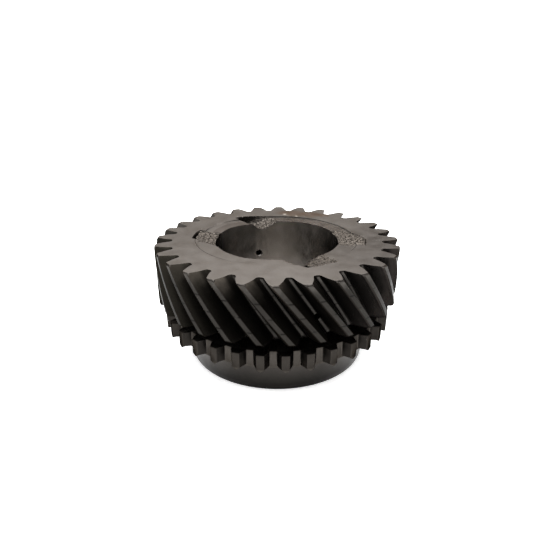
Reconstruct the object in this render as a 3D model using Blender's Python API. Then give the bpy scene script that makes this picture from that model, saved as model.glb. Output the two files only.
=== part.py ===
"""Helical speed gear of a manual gearbox, with its pressed-on clutch ring and synchro cone.

The part stands on the cone's end: Z is the bore's axis, and the origin is where that axis
meets the lowest plane. A phase is an angle about Z, in degrees, counted from -Y towards +X.
"""
import bpy
import bmesh
from math import acos, atan, atan2, cos, pi, radians, sin, tan

# Driving dimensions, in metres and degrees.
TOTAL_HEIGHT = 0.0453
FACE_WIDTH = 0.0210
BORE_RADIUS = 0.0235
ASSEMBLY_GAP = 0.0003

# Gear teeth: a left-hand helix, cut with the usual 20 degree hob.
GEAR_TEETH = 28
NORMAL_MODULE = 0.0025
HELIX_ANGLE = 36.0
PRESSURE_ANGLE = 20.0
GEAR_TIP_RADIUS = 0.0460
TOOTH_DEPTH = 2.54 * NORMAL_MODULE
THICKNESS_FACTOR = 1.04
GEAR_PHASE = -78.4
TIP_CHAMFER = 0.0006
FLANK_STEPS = 4
HELIX_SPANS = 4

# Thrust face, hub and shoulder of the gear wheel.
THRUST_RECESS_RADIUS = 0.0297
THRUST_RECESS_DEPTH = 0.0006
EDGE_BREAK = 0.0004
SHOULDER_RADIUS = 0.0340
HUB_RADIUS = 0.0284
SPLINE_HEIGHT = 0.0012
SPLINE_COUNT = 24
ROUND_SEGMENTS = 4 * SPLINE_COUNT

# Clutch ring: straight dog teeth with pointed lower ends.
RING_TEETH = 33
RING_TOP = 0.0197
RING_THICKNESS = 0.0065
RING_TIP_RADIUS = 0.0438
RING_ROOT_RADIUS = 0.0408
RING_TIP_SHARE = 0.36
RING_ROOT_SHARE = 0.72
RING_POINT = 0.0013
RING_PHASE = -7.8

# Synchro cone.
CONE_TOP_RADIUS = 0.0357
CONE_BOTTOM_RADIUS = 0.0343
CONE_CHAMFER = 0.0006

# Oil ways: four forged pockets in the thrust face, and a hole drilled right across the wheel.
POCKET_CLEAR = 0.0030
POCKET_RISE = 0.0010
POCKET_STEPS = 4
OIL_HOLE_RADIUS = 0.00125
OIL_HOLE_PHASE = 19.0
OIL_HOLE_HEIGHT = 0.0309
OIL_HOLE_SIDES = 16

# Each pocket: phases where it starts and ends at the bore, the same at its outer end,
# outer radius, then the floor's depth at the starting side and at the ending side.
POCKETS = (
    (0.0, 44.0, 17.0, 40.0, 0.0322, 0.0040, 0.0012),
    (66.0, 108.0, 74.0, 97.0, 0.0330, 0.0030, 0.0020),
    (174.0, 208.0, 182.0, 213.5, 0.0320, 0.0016, 0.0036),
    (251.0, 292.0, 252.0, 272.0, 0.0320, 0.0020, 0.0032),
)

# Worked out from the dimensions above.
PITCH_RADIUS = GEAR_TEETH * NORMAL_MODULE / (2 * cos(radians(HELIX_ANGLE)))
GEAR_ROOT_RADIUS = GEAR_TIP_RADIUS - TOOTH_DEPTH
GEAR_BOTTOM = TOTAL_HEIGHT - FACE_WIDTH
TWIST = tan(radians(HELIX_ANGLE)) * FACE_WIDTH / PITCH_RADIUS
RING_BOTTOM = RING_TOP - RING_THICKNESS
CONE_TOP = RING_BOTTOM - ASSEMBLY_GAP


def point(radius, phase, height):
    """A point at a phase, in radians, about the bore's axis."""
    return (radius * sin(phase), -radius * cos(phase), height)


def circle(radius, height):
    """A round ring of points."""
    return [point(radius, 2 * pi * i / ROUND_SEGMENTS, height) for i in range(ROUND_SEGMENTS)]


def spline_ring(clearance, height):
    """The joint's splined outline: two points on each spline, two in each gap."""
    ring = []
    for i in range(ROUND_SEGMENTS):
        rise = SPLINE_HEIGHT if i % 4 < 2 else 0.0
        ring.append(point(HUB_RADIUS + rise + clearance, 2 * pi * i / ROUND_SEGMENTS, height))
    return ring


def involute(angle):
    return tan(angle) - angle


def gear_half_angle(radius):
    """Half the angle that a gear tooth takes up at a radius, from its involute flank."""
    transverse = atan(tan(radians(PRESSURE_ANGLE)) / cos(radians(HELIX_ANGLE)))
    base_radius = PITCH_RADIUS * cos(transverse)
    at_radius = acos(min(1.0, base_radius / radius))
    at_pitch = THICKNESS_FACTOR * pi / (2 * GEAR_TEETH)
    return at_pitch + involute(transverse) - involute(at_radius)


def gear_ring(height, tip_cut):
    """The toothed outline at one height, turned along the helix."""
    turn = radians(GEAR_PHASE) + TWIST * (TOTAL_HEIGHT - height) / FACE_WIDTH
    tip = GEAR_TIP_RADIUS - tip_cut
    radii = [GEAR_ROOT_RADIUS + (tip - GEAR_ROOT_RADIUS) * i / FLANK_STEPS for i in range(FLANK_STEPS + 1)]
    ring = []
    for tooth in range(GEAR_TEETH):
        centre = turn + 2 * pi * tooth / GEAR_TEETH
        ring += [point(r, centre - gear_half_angle(r), height) for r in radii]
        ring += [point(r, centre + gear_half_angle(r), height) for r in reversed(radii)]
    return ring


def dog_ring_outline(tip_radius, root_height, point_height):
    """The clutch ring's outline; the tooth's middle and the gap's middle may sit lower than its corners."""
    pitch = 2 * pi / RING_TEETH
    tip_half = RING_TIP_SHARE * pitch / 2
    root_half = RING_ROOT_SHARE * pitch / 2
    ring = []
    for tooth in range(RING_TEETH):
        centre = radians(RING_PHASE) + pitch * tooth
        ring.append(point(RING_ROOT_RADIUS, centre - root_half, root_height))
        ring.append(point(tip_radius, centre - tip_half, root_height))
        ring.append(point(tip_radius, centre, point_height))
        ring.append(point(tip_radius, centre + tip_half, root_height))
        ring.append(point(RING_ROOT_RADIUS, centre + root_half, root_height))
        ring.append(point(RING_ROOT_RADIUS, centre + pitch / 2, point_height))
    return ring


def turn_of(vertex):
    """A vertex's phase as a share of a full turn, from 0 to 1."""
    return atan2(vertex.co.x, -vertex.co.y) / (2 * pi) % 1.0


def join_equal(bm, lower, upper):
    """Quads between two rings with as many points each."""
    count = len(lower)
    for i in range(count):
        following = (i + 1) % count
        bm.faces.new((lower[i], lower[following], upper[following], upper[i]))


def join_uneven(bm, first, second):
    """Triangles between two rings with different numbers of points, in order of phase."""
    first = sorted(first, key=turn_of)
    second = sorted(second, key=turn_of)
    i, j = 0, 0
    while i < len(first) or j < len(second):
        next_first = turn_of(first[i + 1]) if i + 1 < len(first) else 1.0
        next_second = turn_of(second[j + 1]) if j + 1 < len(second) else 1.0
        a, b = first[i % len(first)], second[j % len(second)]
        if j >= len(second) or (i < len(first) and next_first <= next_second):
            bm.faces.new((a, first[(i + 1) % len(first)], b))
            i += 1
        else:
            bm.faces.new((a, second[(j + 1) % len(second)], b))
            j += 1


def closed_body(name, rings, material):
    """One closed solid from rings of points, each joined to the next and the last to the first."""
    bm = bmesh.new()
    loops = [[bm.verts.new(co) for co in ring] for ring in rings]
    for lower, upper in zip(loops, loops[1:] + loops[:1]):
        join = join_equal if len(lower) == len(upper) else join_uneven
        join(bm, lower, upper)
    bmesh.ops.remove_doubles(bm, verts=bm.verts[:], dist=1e-6)
    bmesh.ops.dissolve_degenerate(bm, dist=1e-7, edges=bm.edges[:])
    return finished_object(name, bm, material)


def finished_object(name, bm, material):
    """Turn a bmesh into a named object in the scene, its faces pointing out."""
    bmesh.ops.recalc_face_normals(bm, faces=bm.faces[:])
    mesh = bpy.data.meshes.new(name)
    bm.to_mesh(mesh)
    bm.free()
    mesh.shade_smooth()
    mesh.set_sharp_from_angle(angle=radians(28))
    obj = bpy.data.objects.new(name, mesh)
    bpy.context.collection.objects.link(obj)
    if material:
        mesh.materials.append(material)
    return obj


def steel(name, colour, roughness):
    """A Principled steel with its own colour and roughness."""
    material = bpy.data.materials.new(name)
    material.use_nodes = True
    shader = material.node_tree.nodes["Principled BSDF"]
    shader.inputs["Base Color"].default_value = (*colour, 1.0)
    shader.inputs["Roughness"].default_value = roughness
    shader.inputs["Metallic"].default_value = 1.0
    return material


def gear_wheel():
    """The toothed wheel in one piece with its hub, as it is forged and turned."""
    thrust = TOTAL_HEIGHT - THRUST_RECESS_DEPTH
    shoulder_bottom = RING_TOP + ASSEMBLY_GAP
    rings = [gear_ring(GEAR_BOTTOM, TIP_CHAMFER)]
    helix = FACE_WIDTH - 2 * TIP_CHAMFER
    for i in range(HELIX_SPANS + 1):
        rings.append(gear_ring(GEAR_BOTTOM + TIP_CHAMFER + helix * i / HELIX_SPANS, 0.0))
    rings.append(gear_ring(TOTAL_HEIGHT, TIP_CHAMFER))
    rings.append(circle(THRUST_RECESS_RADIUS, TOTAL_HEIGHT))
    rings.append(circle(THRUST_RECESS_RADIUS, thrust))
    rings.append(circle(BORE_RADIUS + EDGE_BREAK, thrust))
    rings.append(circle(BORE_RADIUS, thrust - EDGE_BREAK))
    rings.append(circle(BORE_RADIUS, EDGE_BREAK))
    rings.append(circle(BORE_RADIUS + EDGE_BREAK, 0.0))
    rings.append(circle(HUB_RADIUS - EDGE_BREAK, 0.0))
    rings.append(circle(HUB_RADIUS, EDGE_BREAK))
    rings.append(circle(HUB_RADIUS, RING_BOTTOM))
    rings.append(spline_ring(0.0, RING_BOTTOM))
    rings.append(spline_ring(0.0, shoulder_bottom))
    rings.append(circle(SHOULDER_RADIUS, shoulder_bottom))
    rings.append(circle(SHOULDER_RADIUS, GEAR_BOTTOM))
    wheel = closed_body("gear_wheel", rings, steel("gear_steel", (0.25, 0.23, 0.21), 0.38))
    for number, pocket in enumerate(POCKETS, start=1):
        cut(wheel, pocket_cutter(f"pocket_cutter_{number}", *pocket))
    cut(wheel, oil_hole_cutter())
    return wheel


def pocket_cutter(name, bore_start, bore_end, outer_start, outer_end, outer_radius, depth_start, depth_end):
    """A wedge with a tilted floor, open to the bore and rising towards its outer end."""
    inner_radius = BORE_RADIUS - POCKET_CLEAR
    outline = []
    for i in range(POCKET_STEPS + 1):
        share = i / POCKET_STEPS
        depth = depth_start + (depth_end - depth_start) * share
        outline.append((inner_radius, bore_start + (bore_end - bore_start) * share, depth))
    for i in range(POCKET_STEPS + 1):
        share = 1 - i / POCKET_STEPS
        depth = depth_start + (depth_end - depth_start) * share
        outline.append((outer_radius, outer_start + (outer_end - outer_start) * share, depth / 2))
    bm = bmesh.new()
    top = [bm.verts.new(point(r, radians(a), TOTAL_HEIGHT + POCKET_RISE)) for r, a, _ in outline]
    floor = [bm.verts.new(point(r, radians(a), TOTAL_HEIGHT - d)) for r, a, d in outline]
    join_equal(bm, floor, top)
    bm.faces.new(top)
    last = 2 * POCKET_STEPS + 1
    for i in range(POCKET_STEPS):
        bm.faces.new((floor[i], floor[i + 1], floor[last - i - 1]))
        bm.faces.new((floor[i], floor[last - i - 1], floor[last - i]))
    return cutter(finished_object(name, bm, None))


def oil_hole_cutter():
    """A drill across the whole wheel, which leaves two opposite holes from tooth gap to bore."""
    reach = 2 * (GEAR_TIP_RADIUS + POCKET_CLEAR)
    bm = bmesh.new()
    bmesh.ops.create_cone(bm, cap_ends=True, segments=OIL_HOLE_SIDES, radius1=OIL_HOLE_RADIUS,
                          radius2=OIL_HOLE_RADIUS, depth=reach)
    drill = cutter(finished_object("oil_hole_cutter", bm, None))
    drill.location = (0.0, 0.0, OIL_HOLE_HEIGHT)
    drill.rotation_euler = (pi / 2, 0.0, radians(OIL_HOLE_PHASE))
    return drill


def cutter(obj):
    """Mark an object as a tool shape, not as a piece of the part."""
    obj.hide_render = True
    obj.display_type = 'WIRE'
    return obj


def cut(obj, tool):
    """Take a tool's shape out of an object."""
    modifier = obj.modifiers.new(tool.name, 'BOOLEAN')
    modifier.operation = 'DIFFERENCE'
    modifier.solver = 'EXACT'
    modifier.object = tool


def dog_ring():
    """The clutch ring that the synchro sleeve slides over, pressed on the hub's splines."""
    rings = [
        spline_ring(ASSEMBLY_GAP, RING_TOP),
        dog_ring_outline(RING_TIP_RADIUS - EDGE_BREAK, RING_TOP, RING_TOP),
        dog_ring_outline(RING_TIP_RADIUS, RING_TOP - EDGE_BREAK, RING_TOP - EDGE_BREAK),
        dog_ring_outline(RING_TIP_RADIUS, RING_BOTTOM + RING_POINT, RING_BOTTOM),
        dog_ring_outline(RING_ROOT_RADIUS, RING_BOTTOM + RING_POINT, RING_BOTTOM),
        dog_ring_outline(RING_ROOT_RADIUS, RING_BOTTOM, RING_BOTTOM),
        spline_ring(ASSEMBLY_GAP, RING_BOTTOM),
    ]
    return closed_body("dog_ring", rings, steel("ring_steel", (0.17, 0.155, 0.145), 0.42))


def synchro_cone():
    """The tapered friction ring below the dog teeth, pressed on the plain end of the hub."""
    inner = HUB_RADIUS + ASSEMBLY_GAP
    rings = [
        circle(inner + EDGE_BREAK, 0.0),
        circle(CONE_BOTTOM_RADIUS - CONE_CHAMFER, 0.0),
        circle(CONE_BOTTOM_RADIUS, CONE_CHAMFER),
        circle(CONE_TOP_RADIUS, CONE_TOP),
        circle(inner + EDGE_BREAK, CONE_TOP),
        circle(inner, CONE_TOP - EDGE_BREAK),
        circle(inner, EDGE_BREAK),
    ]
    return closed_body("synchro_cone", rings, steel("cone_steel", (0.20, 0.185, 0.17), 0.30))


for old in list(bpy.data.objects):
    bpy.data.objects.remove(old, do_unlink=True)
gear_wheel()
dog_ring()
synchro_cone()
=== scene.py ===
"""Looks of the helical speed gear: fine meshes and worn steel for its three CAD pieces.

Lengths are in metres. Z is the bore's axis, and the origin is where it meets the lowest plane.
A phase is an angle about Z, counted from -Y towards +X.
"""
from collections import namedtuple
from math import acos, atan, atan2, cos, degrees, hypot, pi, radians, sin, tan

import bmesh
import bpy
from mathutils import Matrix, Vector, noise


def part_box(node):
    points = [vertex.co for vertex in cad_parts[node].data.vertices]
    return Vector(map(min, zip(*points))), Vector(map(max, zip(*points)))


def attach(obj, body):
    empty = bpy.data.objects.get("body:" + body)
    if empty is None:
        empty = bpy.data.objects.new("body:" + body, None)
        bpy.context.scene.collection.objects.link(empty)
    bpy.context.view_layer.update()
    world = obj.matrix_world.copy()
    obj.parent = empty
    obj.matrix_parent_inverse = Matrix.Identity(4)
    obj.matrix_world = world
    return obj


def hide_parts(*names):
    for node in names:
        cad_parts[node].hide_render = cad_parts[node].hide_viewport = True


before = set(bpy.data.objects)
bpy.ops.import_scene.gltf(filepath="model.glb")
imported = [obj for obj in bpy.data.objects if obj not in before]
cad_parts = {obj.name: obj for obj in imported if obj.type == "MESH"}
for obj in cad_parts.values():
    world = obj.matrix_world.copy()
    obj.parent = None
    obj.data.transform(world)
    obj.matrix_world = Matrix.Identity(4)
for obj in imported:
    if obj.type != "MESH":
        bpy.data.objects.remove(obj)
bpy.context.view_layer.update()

# Sizes that the frame gives.
WHEEL_LOW, WHEEL_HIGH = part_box("gear_wheel")
DOG_LOW, DOG_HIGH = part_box("dog_ring")
CONE_LOW, CONE_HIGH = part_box("synchro_cone")
TOP = WHEEL_HIGH.z
TIP_RADIUS = (WHEEL_HIGH.x - WHEEL_LOW.x) / 2
DOG_TOP = DOG_HIGH.z
DOG_BOTTOM = DOG_LOW.z
DOG_TIP_RADIUS = max(hypot(v.co.x, v.co.y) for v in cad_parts["dog_ring"].data.vertices)
CONE_TOP = CONE_HIGH.z
CONE_TOP_RADIUS = (CONE_HIGH.x - CONE_LOW.x) / 2
MM = 0.001

# Helical teeth.
TEETH = 28
MODULE = 2.5 * MM
TOOTH_DEPTH = 2.54 * MODULE
HELIX = radians(36.0)
PRESSURE = radians(20.0)
GEAR_PHASE = radians(-78.4)
FACE_WIDTH = 21.0 * MM
GEAR_BOTTOM = TOP - FACE_WIDTH
ROOT_RADIUS = TIP_RADIUS - TOOTH_DEPTH
PITCH_RADIUS = TEETH * MODULE / (2 * cos(HELIX))
TWIST = tan(HELIX) * FACE_WIDTH / PITCH_RADIUS
LEADING_CORNER = 0.80 * MM
TRAILING_CORNER = 0.30 * MM
ROOT_FILLET = 1.1 * MM
FILLET_WIDTH = 0.85 * MM
TIP_LAND_SHARE = 0.4
CORNER_STEPS = 4
FLANK_STEPS = 7
FILLET_STEPS = 5
HELIX_SPANS = 44

# Rounded ends of the teeth: how far tips and sides are cut back in the end face, how long the
# rounding is, and its steps, each as a share of the full cut and a drop from the end face.
END_TIP_CUT = 0.42 * MM
END_SIDE_CUT = 0.08 * MM
END_DEPTH = 0.6 * MM
END_CHAMFER = ((0.15, 0.38 * MM), (0.55, 0.14 * MM), (1.0, 0.0))
# A narrow flat rim inside the rounding, which keeps the face's shading flat.
FACE_LIP = 0.10 * MM
# How far a face's centre may be from the tips or the roots to count as land or as rounded end.
TIP_LAND_MARGIN = 0.03 * MM
ROOT_LAND_MARGIN = 0.04 * MM
ROUNDED_END_MARGIN = 0.7 * MM

# Thrust face.
BORE_RADIUS = 23.5 * MM
FACE_GRID_RADIUS = 36.8 * MM
FACE_COLUMNS = 1080
FACE_RINGS = 52
RECESS_RADIUS = 29.7 * MM
RECESS_DEPTH = 0.6 * MM
RECESS_WALL = 0.03 * MM
RECESS_CLEARANCE = 0.1 * MM
# Where the recess is worn shallow: phase and reach in degrees, and the share of its depth that goes.
RECESS_FADES = (
    (0.0, 32.0, 0.7),
    (234.0, 32.0, 0.95),
    (135.0, 62.0, 0.50),
)
# A worn bevel at the bore: phase, reach and fading stretch in degrees, width and depth.
BEVEL_PHASE = 229.0
BEVEL_REACH = 27.0
BEVEL_FADE = 6.0
BEVEL_WIDTH = 3.3 * MM
BEVEL_DEPTH = 0.5 * MM
# Dents in the thrust face: phase, radius, size across and depth. All but the first have bright metal.
DENTS = (
    (radians(-52.0), 35.9 * MM, 0.55 * MM, 0.30 * MM),
    (radians(173.9), 33.0 * MM, 1.40 * MM, 0.20 * MM),
    (radians(163.8), 30.9 * MM, 0.95 * MM, 0.20 * MM),
)

# The pockets: phases of their two sides at the bore and at the outer end, outer radius, how those
# two sides bend outwards, depths in mm from side to side at the bore and at the outer end, how
# ragged the outline is and how deep its rim at the bore is broken away in mm, and whether the
# forged skin shows. The last is a smooth worn dip.
Pocket = namedtuple("Pocket", "bore outer radius bends bore_depths outer_depths ragged rim forged")
POCKETS = (
    Pocket((23.0, 43.0), (18.0, 38.0), 32.5 * MM, (1.0, 1.0), (3.3, 2.0, 1.25, 0.7, 0.6),
           (0.3, 0.2, 0.2), 0.4, 0.0, True),
    Pocket((73.5, 112.0), (74.0, 87.0), 33.6 * MM, (1.0, 2.0), (1.4, 1.2, 0.7, 0.6),
           (2.6, 1.2, 0.25), 0.3, 0.4, True),
    Pocket((180.0, 206.5), (208.0, 214.0), 32.3 * MM, (3.0, 0.4), (0.6, 2.0, 3.3, 2.9, 0.6),
           (0.2, 2.0, 3.8, 4.8, 5.0), 0.1, 0.4, True),
    Pocket((255.0, 292.0), (252.5, 271.5), 32.3 * MM, (1.0, 0.6), (0.8, 1.2, 1.3),
           (0.4, 1.6, 3.4), 0.25, 0.4, True),
    Pocket((4.0, 24.5), (17.5, 20.0), 32.5 * MM, (1.0, 1.0), (0.5, 2.3, 3.6),
           (1.0, 3.0, 3.0), 0.0, 0.0, False),
)
OUTLINE_WAVES = 2.0 * MM
POCKET_RIM_WIDTH = 1.0 * MM
POCKET_WALL_MM = 0.35
# Lumps of the forged skin: height in mm and size.
SKIN_LUMPS = ((0.16, 0.75 * MM), (0.12, 0.33 * MM))

# Bore, hub and the shoulder under the teeth.
BORE_SPANS = 14
BORE_CROWDING = 1.5
BORE_CHAMFER = 0.5 * MM
HUB_RADIUS = 28.4 * MM
HUB_CHAMFER = 0.4 * MM
SHOULDER_RADIUS = 34.0 * MM
SHOULDER_CHAMFER = 0.3 * MM
SHOULDER_FILLET = 0.5 * MM
SPLINE_HEIGHT = 1.2 * MM
SPLINES = 24
FIT_GAP = 0.3 * MM
ROUND_COLUMNS = 360

# Oil holes.
OIL_HOLE_PHASE = radians(19.0)
OIL_HOLE_HEIGHT = 30.9 * MM
OIL_HOLE_RADIUS = 1.2 * MM
# How much the countersinks widen the radius, how deep in the wall they start, and how far
# inside the bore they end.
COUNTERSINK = 0.35 * MM
COUNTERSINK_START = 0.3 * MM
COUNTERSINK_END = 0.1 * MM
DRILL_COLUMNS = 40

# Dog teeth.
DOG_TEETH = 33
DOG_PITCH = 2 * pi / DOG_TEETH
DOG_PHASE = radians(-7.3)
DOG_ROOT_RADIUS = 40.8 * MM
DOG_TIP_HALF = 0.34 * DOG_PITCH / 2
DOG_ROOT_HALF = 0.64 * DOG_PITCH / 2
DOG_CORNER = 0.25 * MM
DOG_FILLET = 0.5 * MM
DOG_SIDE_STEPS = 4
DOG_FILLET_STEPS = 3
DOG_POINT = 0.95 * MM
DOG_EDGE = 0.28 * MM

# Synchro cone.
CONE_BOTTOM_RADIUS = 34.3 * MM
CONE_ROUND = 0.6 * MM
# How far inwards and upwards the rounded foot's middle point lies.
CONE_ROUND_MIDDLE = (0.17 * MM, 0.2 * MM)
CONE_CHAMFER = 0.4 * MM
CONE_SPANS = 8

# Corners sharper than this stay sharp in the shading.
SMOOTH_ANGLE = radians(32)
# A rounded corner's middle point lies this share of its size from both of its surfaces.
CORNER_MIDDLE = 0.3
# Points closer than the first are merged, and edges shorter than the second are removed.
MERGE_DISTANCE = 1e-7
SHORTEST_EDGE = 1e-8

# Each steel: its colour, how mottled it is (0 where its material has a pattern of its own), its
# tint at grazing angles, its roughness and the height of its relief.
Finish = namedtuple("Finish", "colour mottling grazing roughness relief")
FACE_STEEL = Finish((0.106, 0.098, 0.091), 0.04, 0.25, 0.42, 0.006 * MM)
FLANK_STEEL = Finish((0.0065, 0.0057, 0.0048), 0.20, 0.12, 0.36, 0.010 * MM)
TIP_STEEL = Finish((0.0152, 0.0141, 0.0127), 0.15, 0.60, 0.40, 0.006 * MM)
EDGE_STEEL = Finish((0.050, 0.045, 0.041), 0.0, 0.35, 0.30, 0.006 * MM)
BORE_STEEL = Finish((0.246, 0.224, 0.203), 0.06, 0.0, 0.34, 0.003 * MM)
SKIN_STEEL = Finish((0.079, 0.070, 0.062), 0.0, 0.12, 0.55, 0.080 * MM)
HUB_STEEL = Finish((0.032, 0.029, 0.027), 0.12, 0.12, 0.40, 0.005 * MM)
DOG_STEEL = Finish((0.0132, 0.0118, 0.0104), 0.14, 0.25, 0.42, 0.012 * MM)
CONE_STEEL = Finish((0.0300, 0.0272, 0.0247), 0.10, 1.00, 0.36, 0.004 * MM)
# Colour of the painted highlight at the flanks' upper tips.
FLANK_SHEEN_COLOUR = (0.044, 0.038, 0.032)
# Dark scale of the forged skin, also used as the painted shade on the pockets' side walls.
SCALE_AND_WALL_SHADE_COLOUR = (0.008, 0.007, 0.006)
CHIP_COLOUR = (0.260, 0.240, 0.215)
STAIN_COLOUR = (0.085, 0.062, 0.044)
BROWN_COLOUR = (0.030, 0.024, 0.020)

# Sizes of the mottling, of each steel's own marks and of the lathe lines.
HANDLING_MARKS = 9 * MM
GRAIN = 0.5 * MM
ROUGHNESS_PATCHES = 4 * MM
FLANK_MARKS = 0.4 * MM
EDGE_PATCHES = 2.5 * MM
EDGE_MARKS = 0.3 * MM
SKIN_PATCHES = 0.6 * MM
DOG_MARKS = 0.5 * MM
FACE_LATHE = 0.25 * MM
TIP_LATHE = 0.3 * MM
BORE_LATHE = 0.2 * MM
HUB_LATHE = 0.3 * MM
CONE_LATHE = 0.25 * MM

# Thrust face: painted shade on one side, as phase, reach, strength and full reach, with angles in
# degrees.
FACE_SHADE_SIDE = (70.0, 53.13, 0.18, 18.19)
# Browned rims round the bore: phase and reach in degrees, outer radius and strength.
BROWNED_RIMS = (
    (229.0, 30.0, BORE_RADIUS + BEVEL_WIDTH, 0.45),
    (150.0, 56.0, RECESS_RADIUS, 0.34),
)
BROWNED_EDGE = 0.2 * MM
# The stain's patches: phase in degrees, radius and size.
STAINS = (
    (155.0, 35.5 * MM, 5.0 * MM),
    (166.0, 34.6 * MM, 5.5 * MM),
    (175.0, 35.0 * MM, 3.5 * MM),
    (147.0, 37.0 * MM, 3.0 * MM),
)
STAIN_RAGGED = 1.6 * MM
CHIP_RAGGED = 0.3 * MM
# Score lines on the thrust face: phases in degrees where each starts and ends, and its radii there.
FACE_SCORES = (
    (-92.0, -14.0, 31.2 * MM, 29.2 * MM),
    (60.0, 75.0, 30.2 * MM, 30.5 * MM),
)
FACE_SCORE_CORE = 0.06 * MM
FACE_SCORE_EDGE = 0.20 * MM

# Flanks and tips: where the painted highlight on the flanks and the paler upper ends of the tips start,
# and how ragged their edges are.
FLANK_SHEEN_START = TOP - 7.5 * MM
FLANK_SHEEN_RADIUS = TIP_RADIUS - 3.9 * MM
FLANK_SHEEN_PATCHES = 3 * MM
FLANK_SHEEN_RAGGED = 1.0 * MM
FLANK_SHEEN_SOFT = 0.6 * MM
# The side where the painted highlight on the flanks is strongest, given like FACE_SHADE_SIDE, and its
# least share elsewhere.
FLANK_SHEEN_SIDE = (-38.0, 45.57, 1.0, 11.48)
FLANK_SHEEN_LEAST = 0.15
TIP_PALE_START = TOP - 5.0 * MM
TIP_PALE_PATCHES = 2 * MM
TIP_PALE_RAGGED = 1.2 * MM
# Painted reflections that make the flanks lighter or darker on some sides: phase and reach in degrees,
# and colour.
FLANK_REFLECTION_SIDES = (
    (80.0, 57.0, (0.028, 0.0252, 0.0235)),
    (215.0, 62.0, (0.075, 0.070, 0.065)),
    (290.0, 48.0, (0.012, 0.0108, 0.0086)),
)
# Score lines round the tooth tips.
SCORE_HEIGHTS = (39.1 * MM, 34.0 * MM, 29.0 * MM)
SCORE_CORE = 0.10 * MM
SCORE_EDGE = 0.26 * MM
SCORE_BREAKS = 2 * MM

# Painted reflections as darker bands down the bore: phase and reach in degrees, and strength.
BORE_REFLECTION_BANDS = (
    (85.0, 38.0, 1.0),
    (121.0, 12.0, 0.40),
    (168.0, 10.0, 0.08),
    (205.0, 3.0, 0.22),
    (219.0, 14.0, 0.22),
    (235.0, 8.0, 0.30),
    (273.0, 38.0, 1.0),
)
PIT_SIZE = 0.62 * MM
# How far the paler steel of the dog teeth's tips and the painted light in their gaps reach, and how soft
# the border is.
DOG_LAND = 0.2 * MM
DOG_LAND_SOFT = 0.1 * MM
# Painted shade: the cone darkens from the second height down to the first.
CONE_DARK_HEIGHTS = (0.5 * MM, 9.0 * MM)

# Stage: papers as grey, glow, roughness and gloss, and sheets as corners.
FLOOR_PAPER = (0.93, 0.45, 0.9, 0.1)
BACKDROP_PAPER = (0.90, 1.10, 0.5, 0.5)
FLOOR_DROP = -0.05 * MM
FLOOR_CORNERS = ((-6.0, -6.0, FLOOR_DROP), (6.0, -6.0, FLOOR_DROP),
                 (6.0, 6.0, FLOOR_DROP), (-6.0, 6.0, FLOOR_DROP))
BACKDROP_CORNERS = ((-3.0, 1.3, -0.02), (3.0, 1.3, -0.02), (3.0, 1.3, 0.42), (-3.0, 1.3, 0.42))
WORLD_LIGHT = 0.8
# Soft light panels: name, place, the point faced, size and radiance.
PANELS = (
    ("overhead", (0.0, 0.3, 1.4), (0.0, 0.3, 0.0), (1.6, 2.6), 7.4),
    ("left_rim", (-0.45, 0.40, 0.14), (0.0, 0.0, 0.0), (0.4, 0.2), 3.6),
    ("right_rim", (0.45, 0.40, 0.14), (0.0, 0.0, 0.0), (0.4, 0.2), 3.0),
    ("left_panel", (-1.5, 0.1, 0.50), (0.0, 0.0, 0.03), (1.2, 0.7), 1.15),
    ("right_panel", (1.5, 0.35, 0.60), (0.0, 0.0, 0.03), (1.4, 0.9), 0.45),
    ("back_panel", (-0.05, 1.2, 0.58), (0.0, 0.0, 0.04), (0.7, 0.4), 4.0),
)

# Camera: its place from the thrust face's middle in tip radii, its tilt below level and its lens.
CAMERA_PLACE = (-0.0164, -3.8785, 1.2822)
CAMERA_TILT = 0.3960
LENS = 32.04
SENSOR_WIDTH = 36.0


def point(radius, phase, height):
    """A point at a phase about the bore's axis."""
    return (radius * sin(phase), -radius * cos(phase), height)


def degrees_between(phase, middle):
    """How far a phase in radians is from a middle in degrees, from 0 to 180 degrees."""
    return abs((degrees(phase) - middle + 180) % 360 - 180)


def profile(values, share):
    """Straight-line interpolation between evenly spaced values."""
    place = max(0.0, min(1.0, share)) * (len(values) - 1)
    first = min(int(place), len(values) - 2)
    return values[first] + (values[first + 1] - values[first]) * (place - first)


def soft_step(value):
    """From 0 to 1 with soft ends, as the value goes from 0 to 1."""
    value = max(0.0, min(1.0, value))
    return value * value * (3 - 2 * value)


# ---------------------------------------------------------------- mesh helpers

def join_equal(bm, lower, upper, slot):
    """Quads between two rings with as many points each."""
    count = len(lower)
    for i in range(count):
        following = (i + 1) % count
        face = bm.faces.new((lower[i], lower[following], upper[following], upper[i]))
        face.material_index = slot


def turn_of(vertex):
    """A vertex's phase as a share of a full turn."""
    return (atan2(vertex.co.x, -vertex.co.y) / (2 * pi)) % 1.0


def join_uneven(bm, first, second, slot):
    """Triangles between two rings with different numbers of points, in order of phase."""
    first = sorted(first, key=turn_of)
    second = sorted(second, key=turn_of)
    i, j = 0, 0
    while i < len(first) or j < len(second):
        next_first = turn_of(first[i + 1]) if i + 1 < len(first) else 1.0
        next_second = turn_of(second[j + 1]) if j + 1 < len(second) else 1.0
        a, b = first[i % len(first)], second[j % len(second)]
        if j >= len(second) or (i < len(first) and next_first <= next_second):
            face = bm.faces.new((a, first[(i + 1) % len(first)], b))
            i += 1
        else:
            face = bm.faces.new((a, second[(j + 1) % len(second)], b))
            j += 1
        face.material_index = slot


def link_mesh(name, bm):
    """An object in the scene from a finished bmesh."""
    mesh = bpy.data.meshes.new(name)
    bm.to_mesh(mesh)
    bm.free()
    obj = bpy.data.objects.new(name, mesh)
    bpy.context.scene.collection.objects.link(obj)
    return obj


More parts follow.
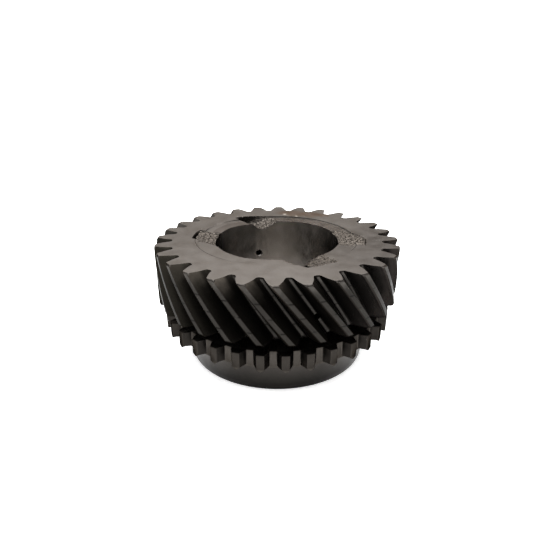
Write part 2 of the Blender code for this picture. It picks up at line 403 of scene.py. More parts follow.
def ring_body(name, bands, materials):
    """One closed mesh from (ring, slot) pairs, where slot is the material of the band after the ring."""
    bm = bmesh.new()
    loops = [[bm.verts.new(co) for co in ring] for ring, _ in bands]
    for lower, upper, (_, slot) in zip(loops, loops[1:] + loops[:1], bands):
        join = join_equal if len(lower) == len(upper) else join_uneven
        join(bm, lower, upper, slot)
    bmesh.ops.remove_doubles(bm, verts=bm.verts[:], dist=MERGE_DISTANCE)
    bmesh.ops.dissolve_degenerate(bm, dist=SHORTEST_EDGE, edges=bm.edges[:])
    bmesh.ops.recalc_face_normals(bm, faces=bm.faces[:])
    body = link_mesh(name, bm)
    for material in materials:
        body.data.materials.append(material)
    return body


def shade(obj):
    obj.data.shade_smooth()
    obj.data.set_sharp_from_angle(angle=SMOOTH_ANGLE)


def circle(radius, height, count=ROUND_COLUMNS):
    return [point(radius, 2 * pi * i / count, height) for i in range(count)]


# ---------------------------------------------------------------- helical teeth

def involute(angle):
    return tan(angle) - angle


def flank_angle(radius):
    """Half the angle that a gear tooth takes up at a radius, from its involute flank."""
    transverse = atan(tan(PRESSURE) / cos(HELIX))
    base_radius = PITCH_RADIUS * cos(transverse)
    at_radius = acos(min(1.0, base_radius / radius))
    return pi / (2 * TEETH) + involute(transverse) - involute(at_radius)


def half_tooth(corner, tip_cut, side_cut):
    """(radius, angle from the tooth's middle) from the tip's middle to the gap's middle."""
    tip_radius = TIP_RADIUS - tip_cut
    root_radius = ROOT_RADIUS - side_cut

    def side(radius):
        return flank_angle(radius) - side_cut / radius

    tip_half = side(tip_radius - corner)
    round_angle = corner / tip_radius
    points = [(tip_radius, 0.0), (tip_radius, TIP_LAND_SHARE * tip_half)]
    for i in range(CORNER_STEPS + 1):
        turn = pi / 2 * i / CORNER_STEPS
        radius = tip_radius - corner * (1 - cos(turn))
        points.append((radius, tip_half - round_angle * (1 - sin(turn))))
    high = tip_radius - 1.5 * corner
    low = root_radius + ROOT_FILLET
    for i in range(FLANK_STEPS + 1):
        radius = high + (low - high) * i / FLANK_STEPS
        points.append((radius, side(radius)))
    for i in range(1, FILLET_STEPS + 1):
        turn = pi / 2 * i / FILLET_STEPS
        radius = root_radius + ROOT_FILLET * (1 - sin(turn))
        points.append((radius, side(radius) + FILLET_WIDTH * (1 - cos(turn)) / root_radius))
    points.append((root_radius, pi / TEETH))
    return points


def tooth_outline(tip_cut=0.0, side_cut=0.0):
    """(radius, angle) all round the gear, with the tips and the sides of the teeth cut back."""
    left = [(r, -a) for r, a in reversed(half_tooth(LEADING_CORNER, tip_cut, side_cut))][1:]
    tooth = left + half_tooth(TRAILING_CORNER, tip_cut, side_cut)[1:]
    outline = []
    for number in range(TEETH):
        outline += [(r, a + 2 * pi * number / TEETH) for r, a in tooth]
    return outline


def helix_ring(outline, height):
    """The outline at a height, turned as far as the helix has turned there."""
    turn = GEAR_PHASE + TWIST * (TOP - height) / FACE_WIDTH
    return [point(r, a + turn, height) for r, a in outline]


def end_ring(share, height):
    """The teeth at a step of their rounded ends, cut back by a share of the full cut."""
    return helix_ring(tooth_outline(share * END_TIP_CUT, share * END_SIDE_CUT), height)


# ---------------------------------------------------------------- thrust face and bore

def pocket_floor(pocket, radius, phase):
    """Depth in mm of a pocket's floor at a spot, and how far inside its outline the spot is in mm."""
    angle = degrees(phase) % 360
    mm_per_degree = radius / MM * pi / 180
    wobble = noise.noise(Vector((radius * sin(phase), radius * cos(phase), 0)) / OUTLINE_WAVES)
    away = max(0.0, (radius - BORE_RADIUS) / (pocket.radius - BORE_RADIUS))
    low, high = [side + (outer - side) * away ** bend
                 for side, outer, bend in zip(pocket.bore, pocket.outer, pocket.bends)]
    from_sides = min((angle - low) * mm_per_degree, (high - angle) * mm_per_degree)
    inside = pocket.ragged * wobble + min(from_sides, (pocket.radius - radius) / MM)
    if inside <= 0 or high <= low:
        return 0.0, 0.0
    share = (angle - low) / (high - low)
    at_bore = profile(pocket.bore_depths, share)
    outside = profile(pocket.outer_depths, share)
    return at_bore + (outside - at_bore) * min(1.0, away), inside


def in_forged_pocket(spot):
    radius, phase = hypot(spot.x, spot.y), atan2(spot.x, -spot.y)
    return any(pocket.forged and pocket_floor(pocket, radius, phase)[1] > 0 for pocket in POCKETS)


def dent_depth(radius, phase):
    depth = 0.0
    for dent_phase, dent_radius, size, deep in DENTS:
        away = hypot((phase - dent_phase) * radius, radius - dent_radius)
        depth += deep * soft_step(1 - away / size)
    return depth


def recess_depth(radius, phase):
    """Depth of the round recess with its worn stretches and the bevel at the bore."""
    recess = RECESS_DEPTH if radius < RECESS_RADIUS else 0.0
    for middle, reach, fade in RECESS_FADES:
        recess *= 1 - fade * soft_step(1 - degrees_between(phase, middle) / reach)
    bevel = BEVEL_DEPTH * max(0.0, 1 - (radius - BORE_RADIUS) / BEVEL_WIDTH)
    along = soft_step((BEVEL_REACH - degrees_between(phase, BEVEL_PHASE)) / BEVEL_FADE)
    return recess + bevel * along


def face_height(radius, phase):
    """The thrust face's height: the recess round the bore, the pockets and the dents."""
    recess = recess_depth(radius, phase)
    lowest = recess + dent_depth(radius, phase)
    spot = Vector((radius * sin(phase), radius * cos(phase), 0))
    for pocket in POCKETS:
        depth, inside = pocket_floor(pocket, radius, phase)
        if inside == 0:
            continue
        if pocket.forged:
            for height, size in SKIN_LUMPS:
                depth += height * noise.noise(spot / size)
            depth += pocket.rim * soft_step(1 - (radius - BORE_RADIUS) / POCKET_RIM_WIDTH)
        lowest = max(lowest, recess + (depth * MM - recess) * soft_step(inside / POCKET_WALL_MM))
    return TOP - lowest


def face_radii():
    """Radii of the thrust face's grid, from the outside in, with a close pair at the recess's step."""
    inwards = BORE_RADIUS - FACE_GRID_RADIUS
    radii = [FACE_GRID_RADIUS + inwards * i / FACE_RINGS for i in range(FACE_RINGS + 1)]
    radii = [r for r in radii if abs(r - RECESS_RADIUS) > RECESS_CLEARANCE]
    radii += [RECESS_RADIUS + RECESS_WALL, RECESS_RADIUS - RECESS_WALL]
    return sorted(radii, reverse=True)


def face_ring(radius):
    ring = []
    for i in range(FACE_COLUMNS):
        phase = 2 * pi * i / FACE_COLUMNS
        ring.append(point(radius, phase, face_height(radius, phase)))
    return ring


def bore_ring(share):
    """A ring of the bore's wall, from just under the face's uneven edge to its plain lower end."""
    ring = []
    for i in range(FACE_COLUMNS):
        phase = 2 * pi * i / FACE_COLUMNS
        edge = face_height(BORE_RADIUS, phase)
        ring.append(point(BORE_RADIUS, phase, edge + (BORE_CHAMFER - edge) * share))
    return ring


def spline_ring(clearance, height):
    """The hub's splined outline: two points on each spline, two in each gap."""
    count = 4 * SPLINES
    ring = []
    for i in range(count):
        rise = SPLINE_HEIGHT if i % 4 < 2 else 0.0
        ring.append(point(HUB_RADIUS + rise + clearance, 2 * pi * i / count, height))
    return ring


# ---------------------------------------------------------------- gear wheel

# The wheel's material slots.
FLANK, FACE, TIP, BORE, POCKET, TURNED, EDGE = range(7)


def tooth_bands():
    """The teeth, from their lower ends to the rim of the thrust face."""
    bands = [(end_ring(share, GEAR_BOTTOM + drop), FLANK) for share, drop in reversed(END_CHAMFER)]
    low, high = GEAR_BOTTOM + END_DEPTH, TOP - END_DEPTH
    for i in range(HELIX_SPANS + 1):
        height = low + (high - low) * i / HELIX_SPANS
        bands.append((helix_ring(tooth_outline(), height), EDGE if i == HELIX_SPANS else FLANK))
    bands += [(end_ring(share, TOP - drop), EDGE if drop else FACE) for share, drop in END_CHAMFER]
    lip = tooth_outline(END_TIP_CUT + FACE_LIP, END_SIDE_CUT + FACE_LIP)
    bands.append((helix_ring(lip, TOP), FACE))
    return bands


def face_and_bore_bands():
    """The thrust face from the outside in, and the bore from its top down."""
    radii = face_radii()
    bands = [(face_ring(radius), BORE if radius == radii[-1] else FACE) for radius in radii]
    for i in range(1, BORE_SPANS + 1):
        bands.append((bore_ring((i / BORE_SPANS) ** BORE_CROWDING), BORE))
    return bands


def hub_bands():
    """The hub's end face, its plain length, its splines and the shoulder under the teeth."""
    seat = DOG_TOP + FIT_GAP
    fillet_middle = CORNER_MIDDLE * SHOULDER_FILLET
    rings = [
        circle(BORE_RADIUS + CORNER_MIDDLE * BORE_CHAMFER, CORNER_MIDDLE * BORE_CHAMFER, FACE_COLUMNS),
        circle(BORE_RADIUS + BORE_CHAMFER, 0.0, FACE_COLUMNS),
        circle(HUB_RADIUS - HUB_CHAMFER, 0.0),
        circle(HUB_RADIUS - 0.25 * HUB_CHAMFER, CORNER_MIDDLE * HUB_CHAMFER),
        circle(HUB_RADIUS, HUB_CHAMFER),
        circle(HUB_RADIUS, DOG_BOTTOM),
        spline_ring(0.0, DOG_BOTTOM),
        spline_ring(0.0, seat),
        circle(SHOULDER_RADIUS - SHOULDER_CHAMFER, seat),
        circle(SHOULDER_RADIUS, seat + SHOULDER_CHAMFER),
        circle(SHOULDER_RADIUS, GEAR_BOTTOM - SHOULDER_FILLET),
        circle(SHOULDER_RADIUS + fillet_middle, GEAR_BOTTOM - fillet_middle),
        circle(SHOULDER_RADIUS + SHOULDER_FILLET, GEAR_BOTTOM),
    ]
    return [(ring, TURNED) for ring in rings]


def gear_wheel(materials):
    """The toothed wheel with its rough pockets, bore, hub and shoulder, in one closed mesh."""
    bands = tooth_bands() + face_and_bore_bands() + hub_bands()
    wheel = ring_body("gear_wheel_steel", bands, materials)
    sort_tooth_faces(wheel)
    drill_oil_holes(wheel)
    shade(wheel)
    return wheel


def sort_tooth_faces(wheel):
    """Give the tip lands, the root lands and the forged pocket floors their own materials."""
    for face in wheel.data.polygons:
        radius = hypot(face.center.x, face.center.y)
        on_tip = radius > TIP_RADIUS - TIP_LAND_MARGIN
        on_root = radius < ROOT_RADIUS + ROOT_LAND_MARGIN
        if face.material_index == FLANK and (on_tip or on_root):
            face.material_index = TIP
        elif face.material_index == EDGE and radius < TIP_RADIUS - ROUNDED_END_MARGIN:
            face.material_index = FLANK
        elif face.material_index == FACE and radius < FACE_GRID_RADIUS:
            if any(in_forged_pocket(wheel.data.vertices[i].co) for i in face.vertices):
                face.material_index = POCKET


def oil_hole_drill():
    """A rod across the whole wheel, thicker inside the bore so that both holes are countersunk."""
    reach = TIP_RADIUS + 1 * MM
    wide = OIL_HOLE_RADIUS + COUNTERSINK
    start = BORE_RADIUS + COUNTERSINK_START
    end = BORE_RADIUS - COUNTERSINK_END
    outline = [(OIL_HOLE_RADIUS, -reach), (OIL_HOLE_RADIUS, -start), (wide, -end),
               (wide, end), (OIL_HOLE_RADIUS, start), (OIL_HOLE_RADIUS, reach)]
    bm = bmesh.new()
    loops = [[bm.verts.new(co) for co in circle(radius, along, DRILL_COLUMNS)]
             for radius, along in outline]
    for lower, upper in zip(loops, loops[1:]):
        join_equal(bm, lower, upper, 0)
    bm.faces.new(loops[0])
    bm.faces.new(loops[-1])
    bmesh.ops.recalc_face_normals(bm, faces=bm.faces[:])
    lay = Matrix.Rotation(OIL_HOLE_PHASE, 4, 'Z') @ Matrix.Rotation(pi / 2, 4, 'X')
    bm.transform(Matrix.Translation((0.0, 0.0, OIL_HOLE_HEIGHT)) @ lay)
    return link_mesh("drill", bm)


def drill_oil_holes(wheel):
    """Cut two opposite oil holes through the wheel's wall."""
    drill = oil_hole_drill()
    modifier = wheel.modifiers.new("drill", 'BOOLEAN')
    modifier.operation = 'DIFFERENCE'
    modifier.solver = 'EXACT'
    modifier.object = drill
    bpy.context.view_layer.update()
    cut = wheel.evaluated_get(bpy.context.evaluated_depsgraph_get())
    cut_mesh = bpy.data.meshes.new_from_object(cut)
    wheel.modifiers.clear()
    wheel.data = cut_mesh
    bpy.data.objects.remove(drill)


# ---------------------------------------------------------------- dog ring

def dog_outline():
    """(radius, angle from its tooth's middle, tooth's middle) all round the clutch ring."""
    corner = DOG_CORNER / DOG_TIP_RADIUS
    side_top = DOG_TIP_RADIUS - DOG_CORNER
    side_foot = DOG_ROOT_RADIUS + DOG_FILLET
    half = [(DOG_TIP_RADIUS, 0.0), (DOG_TIP_RADIUS, DOG_TIP_HALF / 2),
            (DOG_TIP_RADIUS, DOG_TIP_HALF - corner),
            (DOG_TIP_RADIUS - 0.28 * DOG_CORNER, DOG_TIP_HALF - 0.3 * corner),
            (side_top, DOG_TIP_HALF)]
    for i in range(1, DOG_SIDE_STEPS):
        share = i / DOG_SIDE_STEPS
        half.append((side_top + (side_foot - side_top) * share,
                     DOG_TIP_HALF + (DOG_ROOT_HALF - DOG_TIP_HALF) * share))
    for i in range(DOG_FILLET_STEPS + 1):
        turn = pi / 2 * i / DOG_FILLET_STEPS
        half.append((DOG_ROOT_RADIUS + DOG_FILLET * (1 - sin(turn)),
                     DOG_ROOT_HALF + DOG_FILLET * (1 - cos(turn)) / DOG_ROOT_RADIUS))
    half.append((DOG_ROOT_RADIUS, DOG_PITCH / 2))
    tooth = [(r, -a) for r, a in reversed(half)][1:] + half[1:]
    outline = []
    for number in range(DOG_TEETH):
        outline += [(r, a, DOG_PHASE + DOG_PITCH * number) for r, a in tooth]
    return outline


def dog_end_height(angle):
    """Height of the tooth's pointed lower end: lowest along its middle, level in the gaps."""
    beside = abs(angle)
    roof = DOG_POINT * min(1.0, beside / DOG_TIP_HALF)
    gap = soft_step((beside - DOG_ROOT_HALF) / (DOG_PITCH / 2 - DOG_ROOT_HALF))
    return DOG_BOTTOM + roof * (1 - gap)


def dog_ring(materials):
    """The clutch ring: straight teeth with pointed lower ends, and its splined bore."""
    outline = dog_outline()

    def ring(inset, height_of):
        return [point(r - inset, centre + a, height_of(a)) for r, a, centre in outline]

    def root_ring(inset, height_of):
        return [point(DOG_ROOT_RADIUS - inset, centre + a, height_of(a)) for _, a, centre in outline]

    middle = CORNER_MIDDLE * DOG_EDGE
    rings = [
        spline_ring(FIT_GAP, DOG_TOP),
        ring(DOG_EDGE, lambda angle: DOG_TOP),
        ring(middle, lambda angle: DOG_TOP - middle),
        ring(0.0, lambda angle: DOG_TOP - DOG_EDGE),
        ring(0.0, lambda angle: dog_end_height(angle) + DOG_EDGE),
        ring(middle, lambda angle: dog_end_height(angle) + middle),
        ring(DOG_EDGE, dog_end_height),
        root_ring(DOG_EDGE, dog_end_height),
        root_ring(DOG_EDGE + middle, lambda angle: DOG_BOTTOM),
        spline_ring(FIT_GAP, DOG_BOTTOM),
    ]
    body = ring_body("dog_ring_steel", [(ring, 0) for ring in rings], materials)
    shade(body)
    return body


# ---------------------------------------------------------------- synchro cone

def synchro_cone(materials):
    """The ground taper, with a rounded foot and small chamfers."""
    inner = HUB_RADIUS + FIT_GAP
    taper = (CONE_TOP_RADIUS - CONE_BOTTOM_RADIUS) / (CONE_TOP - CONE_ROUND)
    round_in, round_up = CONE_ROUND_MIDDLE
    outline = [(inner + CONE_CHAMFER, 0.0), (CONE_BOTTOM_RADIUS - CONE_ROUND, 0.0),
               (CONE_BOTTOM_RADIUS - round_in, round_up), (CONE_BOTTOM_RADIUS, CONE_ROUND)]
    length = CONE_TOP - CONE_CHAMFER - CONE_ROUND
    for i in range(1, CONE_SPANS + 1):
        rise = length * i / CONE_SPANS
        outline.append((CONE_BOTTOM_RADIUS + taper * rise, CONE_ROUND + rise))
    outline += [(CONE_TOP_RADIUS - CONE_CHAMFER, CONE_TOP), (inner + CONE_CHAMFER, CONE_TOP),
                (inner, CONE_TOP - CONE_CHAMFER), (inner, CONE_CHAMFER)]
    bands = [(circle(radius, height), 0) for radius, height in outline]
    body = ring_body("synchro_cone_steel", bands, materials)
    shade(body)
    return body


# ---------------------------------------------------------------- materials

def rgba(colour, share=1.0):
    """A colour made darker or lighter, with full opacity."""
    return (*(part * share for part in colour), 1.0)


class Steel:
    """A metal material under construction: its node tree and the object's own coordinates."""

    def __init__(self, name, finish):
        self.finish = finish
        self.material = bpy.data.materials.new(name)
        self.material.use_nodes = True
        self.tree = self.material.node_tree
        self.shader = self.tree.nodes["Principled BSDF"]
        self.shader.inputs["Metallic"].default_value = 1.0
        self.shader.inputs["Specular Tint"].default_value = rgba((finish.grazing,) * 3)
        coordinates = self.node("ShaderNodeTexCoord", {}, {})
        self.place = coordinates.outputs["Object"]
        self.facing = coordinates.outputs["Normal"]
        split = self.node("ShaderNodeSeparateXYZ", {}, {"Vector": self.place})
        self.height = split.outputs["Z"]
        backwards = self.math('MULTIPLY', split.outputs["Y"], -1.0)
        self.phase = self.math('ARCTAN2', split.outputs["X"], backwards)
        flat = self.node("ShaderNodeCombineXYZ", {}, {"X": split.outputs["X"], "Y": split.outputs["Y"]})
        self.radius = self.node("ShaderNodeVectorMath", {"operation": 'LENGTH'},
                                {"Vector": flat.outputs[0]}).outputs["Value"]

    def node(self, kind, settings, inputs):
        """Add a node; an input given as a socket is linked, any other value is set."""
        made = self.tree.nodes.new(kind)
        for name, value in settings.items():
            setattr(made, name, value)
        for name, value in inputs.items():
            if isinstance(value, bpy.types.NodeSocket):
                self.tree.links.new(value, made.inputs[name])
            else:
                made.inputs[name].default_value = value
        return made

    def math(self, operation, first, second=0.0):
        return self.node("ShaderNodeMath", {"operation": operation}, {0: first, 1: second}).outputs[0]

    def times(self, first, second):
        return self.math('MULTIPLY', first, second)

    def remap(self, value, from_low, from_high, to_low, to_high):
        inputs = {"Value": value, "From Min": from_low, "From Max": from_high,
                  "To Min": to_low, "To Max": to_high}
        return self.node("ShaderNodeMapRange", {}, inputs).outputs[0]

    def step(self, value, middle, soft, below, above):
        """below under the middle, above over it, and a ramp of soft to each side."""
        return self.remap(value, middle - soft, middle + soft, below, above)

    def noise(self, size, detail=3.0, vector=None):
        """Noise from 0 to 1 whose blobs are about size metres across."""
        inputs = {"Vector": vector or self.place, "Scale": 1 / size, "Detail": detail}
        return self.node("ShaderNodeTexNoise", {}, inputs).outputs["Fac"]

    def spread(self, size, low, high, flat=0.3):
        """Noise stretched from low to high; flat is the share that is cut off at each end."""
        return self.remap(self.noise(size), flat, 1 - flat, low, high)

    def lines(self, along, size):
        """One-dimensional noise along a coordinate: fine lathe lines."""
        vector = self.node("ShaderNodeCombineXYZ", {}, {"X": along}).outputs[0]
        return self.noise(size, 2.0, vector)

    def mix(self, factor, first, second):
        """A colour between two, each given as a colour or a socket."""
        made = self.node("ShaderNodeMix", {"data_type": 'RGBA'}, {0: factor, 6: first, 7: second})
        return made.outputs[2]

    def shaded(self, share):
        """The steel's own colour made darker or lighter."""
        return rgba(self.finish.colour, share)

    def worn(self):
        """Mottled base colour: broad handling marks and fine grain."""
        mottling = self.finish.mottling
        broad = self.spread(HANDLING_MARKS, 0.0, 1.0, 0.35)
        base = self.mix(broad, self.shaded(1 - mottling), self.shaded(1 + mottling))
        grain = self.spread(GRAIN, 0.0, 1.0)
        return self.mix(self.times(grain, 0.5 * mottling), base, self.shaded(0.4))

    def side(self, middle, reach, strength=1.0, full=0.0):
        """Strength round a phase up to full degrees away, and from there down to 0 at the reach."""
        towards = self.math('COSINE', self.math('SUBTRACT', self.phase, radians(middle)))
        return self.remap(towards, cos(radians(reach)), cos(radians(full)), 0.0, strength)

    def fade_up(self, start, size, ragged):
        """From 0 at a height to 1 at the thrust face, with a ragged edge."""
        uneven = self.math('ADD', self.height, self.spread(size, -ragged, ragged))
        return self.remap(uneven, start, TOP, 0.0, 1.0)

    def blob(self, centre, size, ragged):
        """A soft ragged patch round a point, 1 in its middle and 0 outside."""
        away = self.node("ShaderNodeVectorMath", {"operation": 'DISTANCE'},
                         {0: self.place, 1: centre}).outputs["Value"]
        uneven = self.spread(0.25 * size, -ragged, ragged)
        return self.remap(self.math('ADD', away, uneven), 0.6 * size, size, 1.0, 0.0)

    def line_at(self, value, middle, core, edge, strength):
        """A line where the value is near the middle: full within core, gone at edge."""
        away = self.math('ABSOLUTE', self.math('SUBTRACT', value, middle))
        return self.remap(away, core, edge, strength, 0.0)

    def connect(self, colour, relief):
        """Connect the colour, an uneven roughness and the relief."""
        middle = self.finish.roughness
        roughness = self.spread(ROUGHNESS_PATCHES, middle - 0.05, middle + 0.06)
        inputs = {"Height": relief, "Distance": self.finish.relief, "Strength": 1.0}
        bump = self.node("ShaderNodeBump", {}, inputs)
        self.tree.links.new(colour, self.shader.inputs["Base Color"])
        self.tree.links.new(roughness, self.shader.inputs["Roughness"])
        self.tree.links.new(bump.outputs[0], self.shader.inputs["Normal"])
        return self.material


def face_score(steel, start, end, start_radius, end_radius):
    """One score line that drifts in radius, and fades at both ends."""
    track = steel.remap(steel.phase, radians(start), radians(end), start_radius, end_radius)
    line = steel.line_at(steel.radius, track, FACE_SCORE_CORE, FACE_SCORE_EDGE, 0.8)
    half = radians(end - start) / 2
    within = steel.line_at(steel.phase, radians(start + end) / 2, 0.8 * half, half, 1.0)
    return steel.times(line, within)


def turned_face_steel():
    """The thrust face: pale turned steel with lathe lines, painted shade on one side, brown rims, a
    stain, chips and scores.
    """
    steel = Steel("turned_face_steel", FACE_STEEL)
    rings = steel.lines(steel.radius, FACE_LATHE)
    colour = steel.mix(steel.remap(rings, 0.35, 0.65, 0.0, 0.12), steel.worn(), steel.shaded(0.5))
    # Painted shade: the face is darker on one side.
    colour = steel.mix(steel.side(*FACE_SHADE_SIDE), colour, steel.shaded(0.3))
    for middle, reach, outer_radius, strength in BROWNED_RIMS:
        along = steel.side(middle, reach, strength, 0.7 * reach)
        inner = steel.step(steel.radius, outer_radius, BROWNED_EDGE, 1.0, 0.0)
        colour = steel.mix(steel.times(along, inner), colour, rgba(BROWN_COLOUR))
    for phase, radius, size in STAINS:
        stain = steel.blob(point(radius, radians(phase), TOP), size, STAIN_RAGGED)
        colour = steel.mix(steel.times(stain, 0.45), colour, rgba(STAIN_COLOUR))
    for phase, radius, size, _ in DENTS[1:]:
        chip = steel.blob(point(radius, phase, TOP), 0.7 * size, CHIP_RAGGED)
        colour = steel.mix(steel.times(chip, 0.8), colour, rgba(CHIP_COLOUR))
    for score in FACE_SCORES:
        colour = steel.mix(face_score(steel, *score), colour, steel.shaded(0.3))
    return steel.connect(colour, rings)


def tooth_flank_steel():
    """Dark oily flanks, with a painted highlight at their upper tips where light from above falls, and
    painted reflections that make some sides of the wheel lighter or darker.
    """
    steel = Steel("tooth_flank_steel", FLANK_STEEL)
    steel.shader.inputs["Specular IOR Level"].default_value = 0.0
    # Painted highlight: paler, less metallic steel where light from above falls on the flanks' upper
    # tips, strongest on one side of the wheel.
    upper = steel.math('POWER', steel.fade_up(FLANK_SHEEN_START, FLANK_SHEEN_PATCHES, FLANK_SHEEN_RAGGED), 2.0)
    along = steel.remap(steel.side(*FLANK_SHEEN_SIDE), 0.0, 1.0, FLANK_SHEEN_LEAST, 1.0)
    near_tip = steel.step(steel.radius, FLANK_SHEEN_RADIUS, FLANK_SHEEN_SOFT, FLANK_SHEEN_LEAST, 1.0)
    sheen = steel.times(steel.times(upper, along), near_tip)
    colour = steel.mix(sheen, steel.worn(), rgba(FLANK_SHEEN_COLOUR))
    metallic = steel.remap(sheen, 0.0, 1.0, 0.8, 0.1)
    steel.tree.links.new(metallic, steel.shader.inputs["Metallic"])
    # Painted reflections: the flanks are lighter or darker by side of the wheel.
    for middle, reach, reflection_colour in FLANK_REFLECTION_SIDES:
        colour = steel.mix(steel.side(middle, reach), colour, rgba(reflection_colour))
    return steel.connect(colour, steel.noise(FLANK_MARKS))


def tip_land_steel():
    """Tip lands and root lands: turned steel, paler at the top, with score lines round the wheel."""
    steel = Steel("tip_land_steel", TIP_STEEL)
    # The tip lands grow paler towards the top.
    upper = steel.math('POWER', steel.fade_up(TIP_PALE_START, TIP_PALE_PATCHES, TIP_PALE_RAGGED), 1.5)
    colour = steel.mix(upper, steel.worn(), steel.shaded(2.6))
    for height in SCORE_HEIGHTS:
        line = steel.line_at(steel.height, height, SCORE_CORE, SCORE_EDGE, 1.0)
        broken = steel.remap(steel.noise(SCORE_BREAKS), 0.42, 0.50, 0.15, 0.9)
        colour = steel.mix(steel.times(line, broken), colour, steel.shaded(0.12))
    return steel.connect(colour, steel.lines(steel.height, TIP_LATHE))


def tooth_edge_steel():
    """Rounded upper ends of the tips: pale steel as a painted highlight, brighter in patches."""
    steel = Steel("tooth_edge_steel", EDGE_STEEL)
    # Painted highlight on the rounded ends, brighter in patches.
    bright_patches = steel.spread(EDGE_PATCHES, 0.0, 1.0, 0.4)
    colour = steel.mix(bright_patches, steel.shaded(0.45), steel.shaded(1.0))
    return steel.connect(colour, steel.noise(EDGE_MARKS))


def bore_steel():
    """The ground bore, with painted reflections as dark and light bands round it."""
    steel = Steel("bore_steel", BORE_STEEL)
    colour = steel.worn()
    # Painted reflections: darker bands down the bore.
    for band in BORE_REFLECTION_BANDS:
        colour = steel.mix(steel.side(*band), colour, steel.shaded(0.08))
    return steel.connect(colour, steel.lines(steel.height, BORE_LATHE))


def forged_skin():
    """The pockets' rough skin: pale grains standing out of dark scale, with painted shade on the side
    walls.
    """
    steel = Steel("forged_skin", SKIN_STEEL)
    upwards = steel.node("ShaderNodeSeparateXYZ", {}, {"Vector": steel.facing}).outputs["Z"]
    pits = steel.node("ShaderNodeTexVoronoi", {}, {"Vector": steel.place, "Scale": 1 / PIT_SIZE})
    open_pit = steel.remap(pits.outputs["Distance"], 0.32, 0.58, 1.0, 0.0)
    uneven = steel.remap(steel.noise(SKIN_PATCHES), 0.35, 0.55, 0.65, 1.0)
    grains = steel.math('SUBTRACT', 1.0, steel.times(open_pit, uneven))
    colour = steel.mix(grains, rgba(SCALE_AND_WALL_SHADE_COLOUR), steel.shaded(1.0))
    # Painted shade: the pockets' steep side walls are made dark.
    on_floor = steel.remap(upwards, 0.35, 0.8, 0.0, 1.0)
    colour = steel.mix(on_floor, rgba(SCALE_AND_WALL_SHADE_COLOUR, 0.8), colour)
    return steel.connect(colour, grains)


def turned_hub_steel():
    """The hub and the shoulder, plainly turned."""
    steel = Steel("turned_hub_steel", HUB_STEEL)
    return steel.connect(steel.worn(), steel.lines(steel.height, HUB_LATHE))


def dog_ring_steel():
    """The clutch ring: dark sides, with paler tips, and painted light that makes the shaded gaps and
    pointed ends paler.
    """
    steel = Steel("dog_ring_steel", DOG_STEEL)
    gap = steel.step(steel.radius, DOG_ROOT_RADIUS + DOG_LAND, DOG_LAND_SOFT, 1.0, 0.0)
    tip = steel.step(steel.radius, DOG_TIP_RADIUS - DOG_LAND, DOG_LAND_SOFT, 0.0, 1.0)
    pointed_end = steel.step(steel.height, DOG_BOTTOM + DOG_POINT, 0.3 * DOG_POINT, 1.0, 0.0)
    # Painted light: the gaps and the downward-facing pointed ends, which lie in shade, are made paler.
    colour = steel.mix(gap, steel.worn(), steel.shaded(2.5))
    colour = steel.mix(tip, colour, steel.shaded(1.5))
    colour = steel.mix(pointed_end, colour, steel.shaded(2.6))
    return steel.connect(colour, steel.noise(DOG_MARKS))


def cone_steel():
    """The ground cone, with painted reflections that make it paler on the left and right, and painted
    shade that darkens it towards its lower end.
    """
    steel = Steel("cone_steel", CONE_STEEL)
    sideways = steel.math('ABSOLUTE', steel.math('SINE', steel.phase))
    # Painted reflections: the cone is paler on its left and right sides.
    colour = steel.mix(steel.remap(sideways, 0.45, 0.95, 0.0, 1.0), steel.worn(), steel.shaded(2.3))
    # Painted shade: darker towards the lower end.
    low = steel.remap(steel.height, *CONE_DARK_HEIGHTS, 0.92, 0.0)
    colour = steel.mix(low, colour, steel.shaded(0.22))
    return steel.connect(colour, steel.lines(steel.height, CONE_LATHE))


# ---------------------------------------------------------------- stage

def paper(name, grey, glow, roughness, gloss):
    """White paper that glows a little, as if it were lit from all sides."""
    material = bpy.data.materials.new(name)
    material.use_nodes = True
    shader = material.node_tree.nodes["Principled BSDF"]
    shader.inputs["Base Color"].default_value = rgba((grey,) * 3)
    shader.inputs["Roughness"].default_value = roughness
    shader.inputs["Specular IOR Level"].default_value = gloss
    shader.inputs["Emission Color"].default_value = rgba((1.0,) * 3)
    shader.inputs["Emission Strength"].default_value = glow
    return material


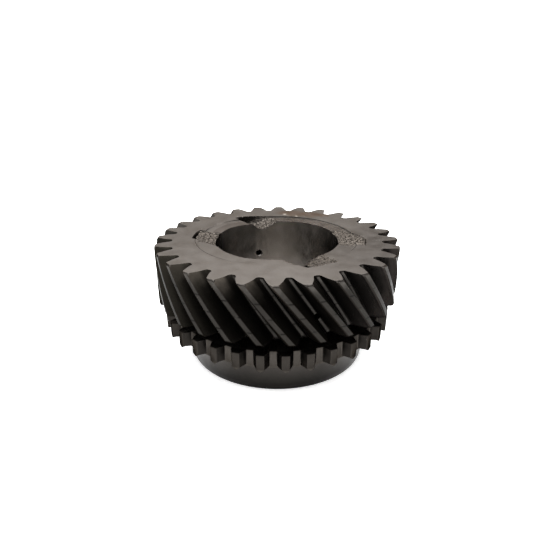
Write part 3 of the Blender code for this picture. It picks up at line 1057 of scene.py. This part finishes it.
def sheet(name, corners, material):
    """A flat sheet of the stage."""
    mesh = bpy.data.meshes.new(name)
    mesh.from_pydata(corners, [], [(0, 1, 2, 3)])
    mesh.materials.append(material)
    obj = bpy.data.objects.new(name, mesh)
    bpy.context.scene.collection.objects.link(obj)


def panel_light(name, place, aim, size, radiance):
    """A soft panel whose surface has the given radiance."""
    data = bpy.data.lights.new(name, 'AREA')
    data.shape = 'RECTANGLE'
    data.size, data.size_y = size
    data.energy = radiance * pi * size[0] * size[1]
    lamp = bpy.data.objects.new(name, data)
    lamp.location = place
    lamp.rotation_euler = (Vector(aim) - Vector(place)).to_track_quat('-Z', 'Y').to_euler()
    bpy.context.scene.collection.objects.link(lamp)


def world_light():
    """Dim white light from all round."""
    world = bpy.data.worlds.new("studio")
    world.use_nodes = True
    background = world.node_tree.nodes["Background"]
    background.inputs["Color"].default_value = rgba((1.0,) * 3)
    background.inputs["Strength"].default_value = WORLD_LIGHT
    bpy.context.scene.world = world


def camera():
    """The view is from in front and a little above, about four gear radii away."""
    data = bpy.data.cameras.new("camera")
    data.lens = LENS
    data.sensor_width = SENSOR_WIDTH
    obj = bpy.data.objects.new("camera", data)
    obj.location = Vector(CAMERA_PLACE) * TIP_RADIUS + Vector((0.0, 0.0, TOP))
    obj.rotation_euler = (pi / 2 - CAMERA_TILT, 0.0, 0.0)
    bpy.context.scene.collection.objects.link(obj)
    bpy.context.scene.camera = obj


def studio():
    """Camera, white floor, a low white screen behind, soft panels and the world's light."""
    bpy.context.scene.view_settings.view_transform = 'Standard'
    camera()
    sheet("floor", FLOOR_CORNERS, paper("floor_paper", *FLOOR_PAPER))
    sheet("backdrop", BACKDROP_CORNERS, paper("backdrop_paper", *BACKDROP_PAPER))
    world_light()
    for panel in PANELS:
        panel_light(*panel)


studio()
wheel = gear_wheel([tooth_flank_steel(), turned_face_steel(), tip_land_steel(), bore_steel(),
                    forged_skin(), turned_hub_steel(), tooth_edge_steel()])
dogs = dog_ring([dog_ring_steel()])
cone = synchro_cone([cone_steel()])
for piece, node, slot in ((wheel, "gear_wheel", "gear_steel"), (dogs, "dog_ring", "ring_steel"),
                          (cone, "synchro_cone", "cone_steel")):
    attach(piece, "root")
    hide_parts(node)
